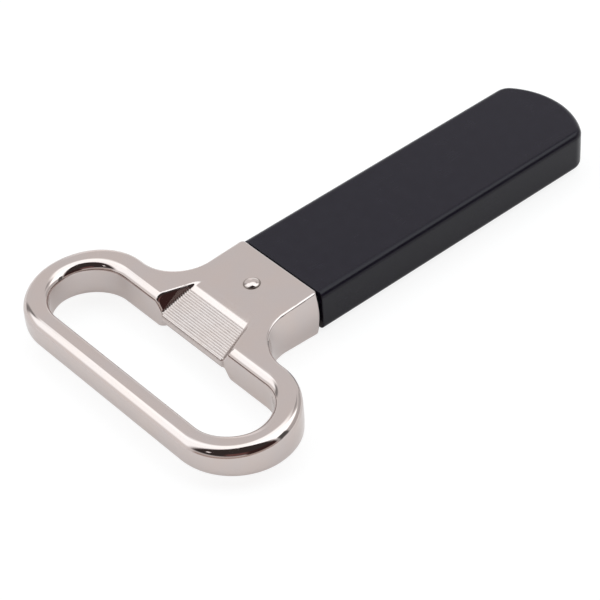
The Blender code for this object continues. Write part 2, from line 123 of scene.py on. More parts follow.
# Blades
BLADE_THICKNESS = 0.0009
BLADE_TIP_THICKNESS = 0.00045
BLADE_TIP_WIDTH = 0.0052
BLADE_HOLLOW = 0.0004
BLADE_TOE_IN = 0.0008
BLADE_FLAT_ROOT = 0.0040
BLADE_BLEND = 0.0120
EAR_RADIUS = 0.0040
EAR_BEND_RADIUS = 0.0009
EAR_RELIEF_START = 0.0035
EAR_RELIEF_END = 0.0015
BLADE_EDGE_BEVEL = 0.00010
BLADE_BEVEL_SEGMENTS = 3
BLADE_BEVEL_ANGLE = 50
BLADE_SHARP_ANGLE = 35
BLADE_TIP_SEGMENTS = 12
BLADE_BODY_SEGMENTS = 72
BLADE_WIDTH_SEGMENTS = 14
EAR_ROWS = 20
EAR_BEND_SEGMENTS = 8
EAR_FLAT_SEGMENTS = 10
ROUND_SEGMENTS = 96

# Sheath
SHEATH_MOUTH_WIDTH = 0.0280
SHEATH_TIP_WIDTH = 0.0278
SHEATH_THICKNESS = SHEATH_HIGH.z - SHEATH_LOW.z
SHEATH_LENGTH = SHEATH_HIGH.y - SHEATH_LOW.y
SHEATH_WALL = 0.0016
SHEATH_TIP_WALL = 0.0020
SHEATH_EDGE_RADIUS = 0.0017
SHEATH_TIP_RADIUS = 0.0202
SHEATH_CORNER_RADIUS = 0.0046
SHEATH_INNER_EDGE_RADIUS = 0.0006
SHEATH_MOUTH_ROUNDING = 0.00014
SHEATH_MOUTH_SETBACK = 0.0004

# Clearances
SEAT_GAP = 0.0003
JOINT_GAP = SHEATH_LOW.y - JOINT_Y

# Mesh spacing: cell sizes of the grids that the fields are sampled on, and cells past the shape
HANDLE_CELL = 0.00030
RAMP_CELL = 0.00008
SHEATH_CELL = 0.00040
SHEATH_LONG_CELL = 0.00080
SHEATH_MOUTH_CELLS = 4
MARGIN_CELLS = 2
GRID_DIGITS = 9
SLAB_ROWS = 24
# Flat stretches: the side of the blocks that they are merged in, and how flat they have to be
FLAT_BLOCK = 0.0040
FLAT_ANGLE = 0.05
FLAT_MISMATCH = 2e-7
# Parts of a cell: over which normals are taken, over which a point's way to the surface is found,
# and within which it counts as lying on an inner wall
NORMAL_PART = 12
SETTLE_PART = 50
INNER_PART = 10
LEAST_SLOPE_SQUARED = 0.05
TINY = 1e-12

# Camera, about the joint: angles in degrees, shift across the view and distance in metres
CAMERA_AZIMUTH = 51.377
CAMERA_ELEVATION = 41.355
CAMERA_ROLL = -4.003
CAMERA_RIGHT = 0.004453
CAMERA_UP = -0.003331
CAMERA_DISTANCE = 0.554667
CAMERA_FOCAL_PIXELS = 2362.1
FRAME_PIXELS = 600
SENSOR_WIDTH = 36.0
CAMERA_CLIP_FACTOR = 100

# Studio dome: radius, lowest rim below the horizon, and its plain brightness, where 1 is white
DOME_RADIUS = 1.6
DOME_LOWEST = -2
DOME_COLUMNS = 72
DOME_ROWS = 24
DOME_PLAIN = 0.85
WHITE = (1, 1, 1)
COOL = (0.93, 0.985, 1)
WARM = (1, 0.86, 0.80)
DARK_ROOM = (1, 0.82, 0.80)
BROWN = (1, 0.50, 0.47)
# Soft cards on it, each over the ones before: its middle and half width round the object from +Y
# towards +X, its lower and upper edge, the softness of its edges, all in degrees, brightness, tint.
# A lower edge of -30 runs down to the horizon, and an upper edge of 130 up to the zenith.
CARDS = {
    "overhead": (-30, 98, 58, 130, 6, 1.85, COOL),
    "corner_shade": (-14, 10, 42, 53, 3, 0.50, WHITE),
    "softbox_left_low": (-138, 24, -30, 26, 6, 1.0, WHITE),
    "softbox_left": (-134, 25, 22, 130, 6, 1.75, COOL),
    "softbox_left_top": (-108, 14, 47, 130, 4, 1.86, COOL),
    "wall_seam": (-106, 5, 5, 40, 3, 0.32, WHITE),
    "far_backdrop": (-47, 17, -30, 12, 5, 1.4, COOL),
    "far_stripe": (-60, 6, -30, 34, 4, 1.12, WHITE),
    "right_wall": (22, 33, -30, 30, 3, 0.62, WHITE),
    "softbox_right": (36, 29, 34, 130, 4, 2.15, COOL),
    "right_low": (64, 5, -30, 31, 2, 0.55, WHITE),
    "right_gap": (56, 8, 6, 40, 2, 0.12, WHITE),
    "table_far_side": (129, 61, -30, 16, 4, 0.55, WARM),
    "room": (133, 63, 21, 130, 5, 0.05, DARK_ROOM),
    "room_low": (93, 24, 14, 40, 3, 0.05, BROWN),
    "room_brown": (131, 15, 24, 40, 6, 0.20, BROWN),
    "room_lamp": (176, 3, 38, 44, 1, 1.5, WHITE),
}
# Floor: its matt grey and its glow in the camera's view, then its matt grey in mirrors and the
# share of the glow that they see
FLOOR_HALF_SIZE = 3
FLOOR_DIFFUSE = 0.22
FLOOR_GLOW = 0.86
FLOOR_MIRROR_DIFFUSE = 0.60
FLOOR_MIRROR_SHARE = 0.52

# Finishes. A SCALE is in cycles for each metre and a HEIGHT or DEPTH in metres. A RANGE is where a
# noise begins to show and where it shows in full. A SHADE is mixed into the colour, a DULLNESS is
# added to the roughness and a GLOSS is taken from it. TURNS are the directions of the scratches,
# in degrees from +Y.
NICKEL = (0.600, 0.532, 0.514)
NICKEL_WARM = (0.615, 0.530, 0.500)
# Painted shade: the dark colour mixed into the hollows, the slots' inner walls, the rivet head's
# rim and the ribbed ramps
NICKEL_PAINTED_SHADE = (0.16, 0.125, 0.105)
NICKEL_RUBBED = (0.66, 0.61, 0.60)
NICKEL_ROUGHNESS = 0.055
NICKEL_CLOUD_SCALE = 130
NICKEL_CLOUD_RANGE = (0.35, 0.7)
NICKEL_CLOUD_DULLNESS = 0.03
NICKEL_RUB_SCALE = 700
NICKEL_RUB_RANGE = (0.3, 0.6)
NICKEL_RUB_SHADE = 0.5
# Speckled painted shade in the hollows: its noise scale, where it begins and ends, and the shares
# of shade it stands for; then the roughness added wherever painted shade is
NICKEL_HOLLOW_SHADE_SCALE = 900
NICKEL_HOLLOW_SHADE_RANGE = (0.3, 0.7)
NICKEL_HOLLOW_PAINTED_SHADES = (0.15, 0.4)
NICKEL_PAINTED_SHADE_DULLNESS = 0.45
NICKEL_SCRATCH_TURNS = (8, 63, -41)
NICKEL_SCRATCH_DULLNESS = 0.14
NICKEL_SCRATCH_DEPTH = 0.0000006
RIB_DULLNESS = 0.13
# Share of painted shade mixed into the ribbed ramps' colour
RIB_PAINTED_SHADE = 0.14
CASTING_WAVE_SCALE = 160
CASTING_WAVE_HEIGHT = 0.000022
CASTING_PEEL_SCALE = 1500
CASTING_PEEL_HEIGHT = 0.0000010
STEEL = (0.56, 0.55, 0.545)
STEEL_DARK = (0.43, 0.42, 0.415)
STEEL_ROUGHNESS = 0.16
STEEL_CLOUD_SCALE = 170
STEEL_CLOUD_RANGE = (0.3, 0.7)
STEEL_CLOUD_SHADE = 0.3
STEEL_GRAIN_ACROSS_SCALE = 5200
STEEL_GRAIN_ALONG_SCALE = 70
STEEL_GRAIN_RANGE = (0.3, 0.7)
STEEL_GRAIN_HEIGHT = 0.0000012
STEEL_GRAIN_SHADE = 0.55
STEEL_GRAIN_DULLNESS = 0.12
STEEL_SCRATCH_TURNS = (2, -5)
STEEL_SCRATCH_DULLNESS = 0.12
STEEL_SCRATCH_DEPTH = 0.000001
PLASTIC = (0.0070, 0.0046, 0.0132)
PLASTIC_PALE = (0.0088, 0.0064, 0.0156)
PLASTIC_RUBBED = (0.0118, 0.0096, 0.0190)
PLASTIC_ROUGHNESS = 0.21
PLASTIC_SPECULAR = 0.24
PLASTIC_CLOUD_SCALE = 330
PLASTIC_CLOUD_RANGE = (0.3, 0.7)
PLASTIC_CLOUD_GLOSS = 0.02
PLASTIC_CLOUD_DULLNESS = 0.05
PLASTIC_RUB_SCALE = 520
PLASTIC_RUB_RANGE = (0.35, 0.65)
PLASTIC_RUB_GLOSS = 0.06
PLASTIC_SCRATCH_TURNS = (3, -9, 74)
PLASTIC_SCRATCH_SHADE = 0.5
PLASTIC_SCRATCH_DULLNESS = 0.05
PLASTIC_INNER_DULLNESS = 0.3
PLASTIC_GRAIN_SCALE = 4800
PLASTIC_GRAIN_HEIGHT = 0.0000022
PLASTIC_WAVE_SCALE = 120
PLASTIC_WAVE_HEIGHT = 0.000012
# Each direction's scratches are closer than the first one's, by one SCALE_PART-th more every time
SCRATCH_ACROSS_SCALE = 6500
SCRATCH_ALONG_SCALE = 45
SCRATCH_SCALE_PART = 7
SCRATCH_LINE_RANGE = (0.66, 0.72)
SCRATCH_PATCH_SCALE = 95
SCRATCH_PATCH_RANGE = (0.44, 0.62)
# Curvature, in 1/m, at which an edge starts to be rubbed bright and at which it is fully so
RUBBED_FROM = 350
RUBBED_FULL = 2600
CURVATURE_REACH = 0.0002

# Sizes that follow
WEDGE_SLOPE = (BLOCK_THICKNESS - LOOP_THICKNESS) / 2 / LOOP_CENTRE_FROM_JOINT
OPENING_LENGTH = LOOP_LENGTH - 2 * END_BAR_WIDTH
OPENING_END_RADIUS = LOOP_END_RADIUS - (FRONT_BAR_WIDTH + BACK_BAR_WIDTH) / 2
OPENING_BACK_FROM_JOINT = LOOP_CENTRE_FROM_JOINT - LOOP_END_RADIUS + BACK_BAR_WIDTH
OPENING_CENTRE_FROM_JOINT = OPENING_BACK_FROM_JOINT + OPENING_END_RADIUS
CAVITY_HALF_WIDTH = (SHEATH_HIGH.x - SHEATH_LOW.x) / 2 - SHEATH_WALL
CAVITY_HALF_HEIGHT = SHEATH_THICKNESS / 2 - SHEATH_WALL
BLADE_OUTER = CAVITY_HALF_WIDTH - SEAT_GAP
BLADE_MIDDLE = BLADE_OUTER - BLADE_THICKNESS / 2
BLADE_HALF_WIDTH = CAVITY_HALF_HEIGHT - SEAT_GAP
EAR_LEVEL = BLADE_HALF_WIDTH - BLADE_THICKNESS / 2
RIVET_SEAT = BLOCK_THICKNESS / 2 - RIVET_FROM_JOINT * WEDGE_SLOPE + RIVET_HEAD_LIFT
RIVET_DOME_RISE = RIVET_TOP - BLOCK_THICKNESS / 2 - RIVET_SEAT - RIVET_HEAD_LIFT
DESIGN_ORIGIN = Vector((0, JOINT_Y, BLOCK_THICKNESS / 2))
RIBS_START_Y = JOINT_Y - RAMP_START_FROM_JOINT - PLAIN_BAND_LENGTH * RAMP_PLAN_SHARE


def smooth_step(share):
    share = np.clip(share, 0, 1)
    return share * share * (3 - 2 * share)


def mix(start, end, share):
    return start + (end - start) * share


# Distance fields: negative inside the material


def round_union(a, b, radius):
    """Both shapes together, with a fillet where they meet."""
    return np.maximum(radius, np.minimum(a, b)) - np.hypot(
        np.maximum(radius - a, 0), np.maximum(radius - b, 0)
    )


def round_common(a, b, radius):
    """What both shapes share, with the edge between them rounded."""
    return np.minimum(-radius, np.maximum(a, b)) + np.hypot(
        np.maximum(radius + a, 0), np.maximum(radius + b, 0)
    )


def stadium(x, y, length, radius, centre_y):
    """In plan: a bar along X with round ends."""
    return np.hypot(np.maximum(np.abs(x) - (length / 2 - radius), 0), y - centre_y) - radius


def handle_plan(x, y):
    """The handle seen from above: stadium loop and block, joined by the two neck arcs."""
    loop = stadium(x, y, LOOP_LENGTH, LOOP_END_RADIUS, -LOOP_CENTRE_FROM_JOINT)
    across = np.abs(x) - BLOCK_WIDTH / 2
    below = -LOOP_CENTRE_FROM_JOINT - y
    block = np.where((across > 0) & (below > 0), np.hypot(across, below), np.maximum(across, below))
    return round_union(loop, block, NECK_ARC_RADIUS)


def outer_edge_shape(x, y):
    """The rounding and the crown of the handle's outer side, which both change along it."""
    neck_x = BLOCK_WIDTH / 2 + NECK_ARC_RADIUS
    neck_y = -LOOP_CENTRE_FROM_JOINT + LOOP_END_RADIUS + NECK_ARC_RADIUS
    end_x = LOOP_LENGTH / 2 - LOOP_END_RADIUS
    reach = np.abs(x)
    neck_turn = np.arctan2(neck_y - y, np.maximum(neck_x - reach, 0))
    end_turn = np.arctan2(y + LOOP_CENTRE_FROM_JOINT, np.maximum(reach - end_x, 0))
    neck = smooth_step(neck_turn / (math.pi / 2))
    end = smooth_step(1 - end_turn / (math.pi / 2))
    radius = mix(BLOCK_EDGE_RADIUS, NECK_EDGE_RADIUS, neck)
    radius = radius + (LOOP_EDGE_RADIUS - NECK_EDGE_RADIUS) * end
    crown = mix(BLOCK_SIDE_CROWN, LOOP_SIDE_CROWN, neck)
    return radius, crown


def wedge_half_thickness(y):
    """Half the handle's thickness at a place along it, y being 0 at the joint."""
    return BLOCK_THICKNESS / 2 + y * WEDGE_SLOPE


def ramp_recess(x, y, z):
    """The space over a ramp, the same above and below. Its side walls flare and lean outwards."""
    start_y, tip_y = -RAMP_START_FROM_JOINT, -TOOTH_TIP_FROM_JOINT
    start = np.array((RAMP_START_WIDTH / 2, start_y, wedge_half_thickness(start_y)))
    tip = np.array((RAMP_TIP_WIDTH / 2, tip_y, TOOTH_THICKNESS / 2))
    mouth = np.array((RECESS_MOUTH_WIDTH / 2, tip_y, wedge_half_thickness(tip_y)))
    wall = np.cross(tip - start, mouth - start)
    wall *= -np.sign(wall[0]) / np.linalg.norm(wall)
    slope = tip[1:] - start[1:]
    slope /= np.linalg.norm(slope)
    rise = np.abs(z) - start[2]
    along = (y - start[1]) * slope[0] + rise * slope[1]
    above = (y - start[1]) * slope[1] - rise * slope[0]
    rib = np.clip(np.round((along - PLAIN_BAND_LENGTH) / RIB_PITCH), 0, RIB_COUNT - 1)
    off = np.abs(along - PLAIN_BAND_LENGTH - rib * RIB_PITCH) / (RIB_GROOVE_WIDTH / 2)
    above = above + RIB_GROOVE_DEPTH * (1 - smooth_step(off))
    inward = (np.abs(x) - start[0]) * wall[0] + (y - start[1]) * wall[1] + rise * wall[2]
    recess = round_common(-above, -inward, RECESS_FILLET)
    return np.maximum(recess, -OPENING_CENTRE_FROM_JOINT - y)


def slots(x, y, z):
    """The two L-shaped slots that hold the blades' tangs and ears."""
    back = -RIVET_FROM_JOINT - EAR_RADIUS - SEAT_GAP - y
    half = BLADE_THICKNESS / 2 + SEAT_GAP
    found = None
    for hand in (-1, 1):
        side, level = hand * x, hand * z
        tall = np.abs(z) - BLADE_HALF_WIDTH - SEAT_GAP
        upright = np.maximum(np.abs(side - BLADE_MIDDLE) - half, tall)
        across = np.maximum(side - BLADE_MIDDLE, -EAR_RADIUS - SEAT_GAP - side)
        flat = np.maximum(np.abs(level - EAR_LEVEL) - half, across)
        slot = np.maximum(np.minimum(upright, flat), back)
        found = slot if found is None else np.minimum(found, slot)
    return found


def rivet_seats(x, y, z):
    """Bore for the shank and countersink for the tail below."""
    out = np.hypot(x, y + RIVET_FROM_JOINT)
    bore = out - RIVET_RADIUS - SEAT_GAP
    sink = RIVET_TAIL_RADIUS + RIVET_TAIL_INSET + SEAT_GAP * math.sqrt(2)
    cone = (out + z + RIVET_SEAT - sink) / math.sqrt(2)
    return np.minimum(bore, np.maximum(cone, out - sink))


def handle_field(x, y, z):
    """The casting: a wedge with its opening, tooth, ramps, slots and the rivet's bore."""
    half = wedge_half_thickness(y)
    radius, crown = outer_edge_shape(x, y)
    face = (np.abs(z) - half) / math.hypot(1, WEDGE_SLOPE)
    side = handle_plan(x, y) + crown * (z / half) ** 2
    side = round_common(side, y, BLOCK_CORNER_RADIUS)
    body = round_common(side, face, radius)
    front = smooth_step((-OPENING_CENTRE_FROM_JOINT - y) / OPENING_END_RADIUS)
    inner_radius = mix(OPENING_BACK_EDGE_RADIUS, OPENING_FRONT_EDGE_RADIUS, front)
    opening = -stadium(x, y, OPENING_LENGTH, OPENING_END_RADIUS, -OPENING_CENTRE_FROM_JOINT)
    body = np.maximum(body, round_common(opening / OPENING_EDGE_SPREAD, face, inner_radius))
    tooth = round_common(np.abs(x) - TOOTH_WIDTH / 2, -TOOTH_TIP_FROM_JOINT - y, TOOTH_EDGE_RADIUS)
    tall = LOOP_THICKNESS / 2 - OPENING_BACK_EDGE_RADIUS
    root = y + OPENING_BACK_FROM_JOINT - OPENING_BACK_EDGE_RADIUS
    tooth = np.maximum(np.maximum(tooth, np.abs(z) - tall), root)
    body = round_union(body, tooth, TOOTH_EDGE_RADIUS)
    body = round_common(body, -ramp_recess(x, y, z), RECESS_BEVEL)
    body = round_common(body, -slots(x, y, z), SLOT_BEVEL)
    return round_common(body, -rivet_seats(x, y, z), SLOT_BEVEL)


def tip_plan(x, along, half_width, tip_radius, corner_radius):
    """Straight sides and a tip arc, joined by a corner arc that meets both without a kink."""
    reach = np.abs(x)
    centre = SHEATH_LENGTH - SHEATH_TIP_RADIUS
    corner_x = half_width - corner_radius
    rise = np.sqrt((tip_radius - corner_radius) ** 2 - corner_x ** 2)
    ahead = along - centre
    side = reach - half_width
    tip = np.hypot(reach, ahead) - tip_radius
    corner = np.hypot(reach - corner_x, ahead - rise) - corner_radius
    on_tip = ahead * corner_x > reach * rise
    return np.where(ahead < rise, side, np.where(on_tip, tip, corner))


def sheath_cavity(x, y, z):
    """The pocket for the blades, one wall's thickness inside the sheath."""
    tip_radius = SHEATH_TIP_RADIUS - SHEATH_TIP_WALL
    corner_radius = SHEATH_CORNER_RADIUS - SHEATH_WALL
    plan = tip_plan(x, y - JOINT_GAP, CAVITY_HALF_WIDTH, tip_radius, corner_radius)
    return round_common(plan, np.abs(z) - CAVITY_HALF_HEIGHT, SHEATH_INNER_EDGE_RADIUS)


def sheath_field(x, y, z):
    """A flat sleeve with soft long edges, closed at its rounded tip and open at its mouth."""
    along = y - JOINT_GAP
    half_width = mix(SHEATH_MOUTH_WIDTH, SHEATH_TIP_WIDTH, along / SHEATH_LENGTH) / 2
    plan = tip_plan(x, along, half_width, SHEATH_TIP_RADIUS, SHEATH_CORNER_RADIUS)
    shell = round_common(plan, np.abs(z) - SHEATH_THICKNESS / 2, SHEATH_EDGE_RADIUS)
    shell = round_common(shell, SHEATH_MOUTH_SETBACK - along, SHEATH_MOUTH_ROUNDING)
    return round_common(shell, -sheath_cavity(x, y, z), SHEATH_MOUTH_ROUNDING)


# Meshing


def steps(low, high, cell):
    """Evenly spaced grid lines from low to high, about one cell apart."""
    return np.linspace(low, high, max(2, round((high - low) / cell) + 1))


def join_steps(*pieces):
    return np.unique(np.round(np.concatenate(pieces), GRID_DIGITS))


def sample(field, axes):
    """The field's values on the grid, worked out in slabs to spare memory."""
    xs, ys, zs = axes
    values = np.empty((len(xs), len(ys), len(zs)), np.float32)
    for start in range(0, len(ys), SLAB_ROWS):
        rows = slice(start, start + SLAB_ROWS)
        values[:, rows, :] = field(xs[:, None, None], ys[None, rows, None], zs[None, None, :])
    return values


def cell_points(values, axes):
    """One point for each cell that the surface passes through: the middle of its crossings."""
    inside = values < 0
    count = np.zeros([n - 1 for n in values.shape], np.int8)
    for i in (0, 1):
        for j in (0, 1):
            for k in (0, 1):
                count += inside[i:i - 1 or None, j:j - 1 or None, k:k - 1 or None]
    active = (count > 0) & (count < 8)
    cells = np.argwhere(active)
    index = np.full(active.shape, -1, np.int64)
    index[active] = np.arange(len(cells))
    total = np.zeros((len(cells), 3))
    hits = np.zeros(len(cells))
    for axis in range(3):
        for first in (0, 1):
            for second in (0, 1):
                low = np.zeros(3, int)
                low[(axis + 1) % 3] = first
                low[(axis + 2) % 3] = second
                high = low.copy()
                high[axis] = 1
                a = cells + low
                b = cells + high
                value_a = values[tuple(a.T)].astype(float)
                value_b = values[tuple(b.T)].astype(float)
                crossed = (value_a < 0) != (value_b < 0)
                share = np.where(crossed, value_a / np.where(crossed, value_a - value_b, 1), 0)
                point_a = np.stack([axes[d][a[:, d]] for d in range(3)], 1)
                point_b = np.stack([axes[d][b[:, d]] for d in range(3)], 1)
                total += np.where(crossed[:, None], mix(point_a, point_b, share[:, None]), 0)
                hits += crossed
    return total / hits[:, None], index


def net_faces(values, index):
    """A four-sided face round each grid edge that the surface crosses, facing outwards."""
    inside = values < 0
    faces = []
    for axis in range(3):
        second, third = (axis + 1) % 3, (axis + 2) % 3
        before = np.moveaxis(inside, (axis, second, third), (0, 1, 2))
        cells = np.moveaxis(index, (axis, second, third), (0, 1, 2))
        changed = before[:-1, 1:-1, 1:-1] != before[1:, 1:-1, 1:-1]
        i, j, k = np.nonzero(changed)
        outward = before[:-1, 1:-1, 1:-1][i, j, k]
        corners = (cells[i, j, k], cells[i, j + 1, k], cells[i, j + 1, k + 1], cells[i, j, k + 1])
        ring = np.stack(corners, 1)
        ring[~outward] = ring[~outward][:, ::-1]
        faces.append(ring)
    return np.concatenate(faces)


def surface_normals(field, points, reach):
    """The direction in which the field rises fastest at each point."""
    rises = [field(*(points + step).T) - field(*(points - step).T) for step in np.eye(3) * reach]
    slopes = np.stack(rises, 1)
    return slopes / np.linalg.norm(slopes, axis=1, keepdims=True)


def settle(field, points, cell, rounds):
    """Moves each point onto the surface along the field's slope."""
    reach = cell / SETTLE_PART
    for _ in range(rounds):
        here = field(*points.T)
        rises = [(field(*(points + step).T) - here) / reach for step in np.eye(3) * reach]
        slope = np.stack(rises, 1)
        move = (here / np.maximum((slope ** 2).sum(1), LEAST_SLOPE_SQUARED))[:, None] * slope
        length = np.linalg.norm(move, axis=1, keepdims=True)
        points = points - move * np.minimum(1, cell / np.maximum(length, TINY))
    return points


def relax(points, faces, normals):
    """Evens out the mesh along the surface, so that thin cells don't leave long slivers."""
    pairs = np.concatenate([faces[:, (a, (a + 1) % 4)] for a in range(4)])
    total = np.zeros_like(points)
    count = np.zeros(len(points))
    for a, b in ((0, 1), (1, 0)):
        for axis in range(3):
            total[:, axis] += np.bincount(pairs[:, a], points[pairs[:, b], axis], len(points))
        count += np.bincount(pairs[:, a], minlength=len(points))
    move = total / count[:, None] - points
    move -= (move * normals).sum(1, keepdims=True) * normals
    return points + move / 2


def flatten_faces(mesh, points, faces, normals):
    """Merges the cells of each flat stretch, away from its edges, block by block."""
    corners = points[faces]
    across = np.cross(corners[:, 2] - corners[:, 0], corners[:, 3] - corners[:, 1])
    across /= np.linalg.norm(across, axis=1, keepdims=True)
    agree = (normals[faces] * across[:, None]).sum(2).min(1)
    flat = agree > 1 - FLAT_MISMATCH
    block = np.floor(corners.mean(1) / FLAT_BLOCK).astype(int)
    bm = bmesh.new()
    bm.from_mesh(mesh)
    bm.faces.ensure_lookup_table()
    edges = []
    for edge in bm.edges:
        linked = [face.index for face in edge.link_faces]
        if len(linked) == 2 and flat[linked].all() and (block[linked[0]] == block[linked[1]]).all():
            edges.append(edge)
    verts = list(dict.fromkeys(vert for edge in edges for vert in edge.verts))
    bmesh.ops.dissolve_limit(
        bm, angle_limit=math.radians(FLAT_ANGLE), use_dissolve_boundaries=False,
        verts=verts, edges=edges, delimit=set()
    )
    bm.to_mesh(mesh)
    bm.free()


def curvature(field, points, reach):
    """Sum of both curvatures: above zero on an edge, below zero in a hollow."""
    pairs = [field(*(points + step).T) + field(*(points - step).T) for step in np.eye(3) * reach]
    return (sum(pairs) - 6 * field(*points.T)) / reach ** 2


def mark(mesh, name, amounts):
    """Keeps one number for each vertex, for the materials to read."""
    mesh.attributes.new(name, "FLOAT", "POINT").data.foreach_set("value", amounts)


def mesh_field(name, field, inner, axes, cell):
    """Meshes a field, and marks its edges, its hollows and its inner walls for the finish."""
    values = sample(field, axes)
    points, index = cell_points(values, axes)
    faces = net_faces(values, index)
    reach = cell / NORMAL_PART
    points = settle(field, points, cell, rounds=2)
    points = relax(points, faces, surface_normals(field, points, reach))
    points = settle(field, points, cell, rounds=1)
    mesh = bpy.data.meshes.new(name)
    mesh.from_pydata(points.tolist(), [], faces.tolist())
    flatten_faces(mesh, points, faces, surface_normals(field, points, reach))
    mesh.shade_smooth()
    spots = np.empty(len(mesh.vertices) * 3)
    mesh.vertices.foreach_get("co", spots)
    spots = spots.reshape(-1, 3)
    mesh.normals_split_custom_set_from_vertices(surface_normals(field, spots, reach).tolist())
    bend = curvature(field, spots, CURVATURE_REACH)
    mark(mesh, "edge", smooth_step((bend - RUBBED_FROM) / (RUBBED_FULL - RUBBED_FROM)))
    mark(mesh, "hollow", smooth_step((-bend - RUBBED_FROM) / (RUBBED_FULL - RUBBED_FROM)))
    mark(mesh, "inner", (np.abs(inner(*spots.T)) < cell / INNER_PART).astype(float))
    mesh.transform(Matrix.Translation(DESIGN_ORIGIN))
    item = bpy.data.objects.new(name, mesh)
    bpy.context.scene.collection.objects.link(item)
    return item


def make_handle():
    """The casting, with closer grid lines along the ramps for their ribs."""
    margin = MARGIN_CELLS * HANDLE_CELL
    half_x = LOOP_LENGTH / 2 + margin
    front = -LOOP_CENTRE_FROM_JOINT - LOOP_END_RADIUS - margin
    ramp_low = -TOOTH_TIP_FROM_JOINT - margin
    ramp_high = -RAMP_START_FROM_JOINT + margin
    half_z = BLOCK_THICKNESS / 2 + margin
    axes = (
        steps(-half_x, half_x, HANDLE_CELL),
        join_steps(
            steps(front, ramp_low, HANDLE_CELL),
            steps(ramp_low, ramp_high, RAMP_CELL),
            steps(ramp_high, margin, HANDLE_CELL),
        ),
        steps(-half_z, half_z, HANDLE_CELL),
    )
    return mesh_field("cast_handle", handle_field, slots, axes, HANDLE_CELL)


def make_sheath():
    """The sheath, with closer grid lines at its mouth and wider ones along its straight sides."""
    margin = MARGIN_CELLS * SHEATH_CELL
    half_x = SHEATH_MOUTH_WIDTH / 2 + margin
    half_z = SHEATH_THICKNESS / 2 + margin
    mouth_end = JOINT_GAP + SHEATH_MOUTH_CELLS * SHEATH_CELL
    tip_start = JOINT_GAP + SHEATH_LENGTH - SHEATH_TIP_RADIUS
    axes = (
        steps(-half_x, half_x, SHEATH_CELL),
        join_steps(
            steps(JOINT_GAP - margin, mouth_end, SHEATH_CELL / 2),
            steps(mouth_end, tip_start, SHEATH_LONG_CELL),
            steps(tip_start, JOINT_GAP + SHEATH_LENGTH + margin, SHEATH_CELL),
        ),
        steps(-half_z, half_z, SHEATH_CELL),
    )
    return mesh_field("moulded_sheath", sheath_field, sheath_cavity, axes, SHEATH_CELL)


def add_mesh(name, bm):
    mesh = bpy.data.meshes.new(name)
    bm.to_mesh(mesh)
    bm.free()
    item = bpy.data.objects.new(name, mesh)
    bpy.context.scene.collection.objects.link(item)
    return item


def lathe(bm, profile, segments):
    """Turns a closed profile of (radius, height) points, from its lower pole to its upper one."""
    rings = []
    for radius, level in profile:
        if radius == 0:
            rings.append([bm.verts.new((0, 0, level))])
            continue
        ring = []
        for step in range(segments):
            turn = 2 * math.pi * step / segments
            ring.append(bm.verts.new((radius * math.cos(turn), radius * math.sin(turn), level)))
        rings.append(ring)
    for lower, upper in zip(rings, rings[1:]):
        for step in range(segments):
            after = (step + 1) % segments
            if len(lower) == 1:
                bm.faces.new((lower[0], upper[after], upper[step]))
            elif len(upper) == 1:
                bm.faces.new((lower[step], lower[after], upper[0]))
            else:
                bm.faces.new((lower[step], lower[after], upper[after], upper[step]))


def make_rivet():
    """Domed head on the sloping face, plain shank, and a tail peened into its countersink."""
    tail_end = RIVET_TAIL_INSET - RIVET_SEAT
    dimple_radius = RIVET_RADIUS * RIVET_DIMPLE_SHARE
    profile = [(0, tail_end + RIVET_TAIL_DIMPLE)]
    for step in range(1, RIVET_DIMPLE_SEGMENTS + 1):
        share = step / RIVET_DIMPLE_SEGMENTS
        level = tail_end + RIVET_TAIL_DIMPLE * (1 - smooth_step(share))
        profile.append((dimple_radius * share, level))
    profile += [
        (RIVET_TAIL_RADIUS - RIVET_RIM_ROUNDING, tail_end),
        (RIVET_TAIL_RADIUS, tail_end + RIVET_RIM_ROUNDING),
        (RIVET_RADIUS, tail_end + RIVET_TAIL_RADIUS - RIVET_RADIUS + RIVET_RIM_ROUNDING),
        (RIVET_RADIUS, RIVET_SEAT),
    ]
    for step in range(RIVET_DOME_SEGMENTS):
        turn = math.pi / 2 * step / RIVET_DOME_SEGMENTS
        level = RIVET_SEAT + RIVET_DOME_RISE * math.sin(turn) ** RIVET_DOME_POWER
        profile.append((RIVET_HEAD_RADIUS * math.cos(turn), level))
    profile.append((0, RIVET_SEAT + RIVET_DOME_RISE))
    bm = bmesh.new()
    lathe(bm, profile, ROUND_SEGMENTS)
    for vert in bm.verts:
        if vert.co.z > RIVET_SEAT - RIVET_HEAD_LIFT:
            vert.co.z += vert.co.y * WEDGE_SLOPE
    rivet = add_mesh("domed_rivet", bm)
    rivet.data.transform(Matrix.Translation(DESIGN_ORIGIN + Vector((0, -RIVET_FROM_JOINT, 0))))
    rivet.data.shade_smooth()
    rivet.data.set_sharp_from_angle(angle=math.radians(RIVET_SHARP_ANGLE))
    return rivet


def blade_rows(reach):
    """Places along a blade from its root to its tip, with its half width at each."""
    tip_radius = BLADE_TIP_WIDTH / 2
    straight_end = reach - tip_radius
    places = [(-EAR_RELIEF_END, BLADE_HALF_WIDTH)]
    for step in range(BLADE_BODY_SEGMENTS + 1):
        share = step / BLADE_BODY_SEGMENTS
        half_width = mix(BLADE_HALF_WIDTH, tip_radius, share)
        places.append((mix(BLADE_FLAT_ROOT, straight_end, share), half_width))
    for step in range(1, BLADE_TIP_SEGMENTS + 1):
        # The half step keeps the last row from closing to a point
        angle = math.pi / 2 * step / (BLADE_TIP_SEGMENTS + 0.5)
        places.append((straight_end + tip_radius * math.sin(angle), tip_radius * math.cos(angle)))
    return places


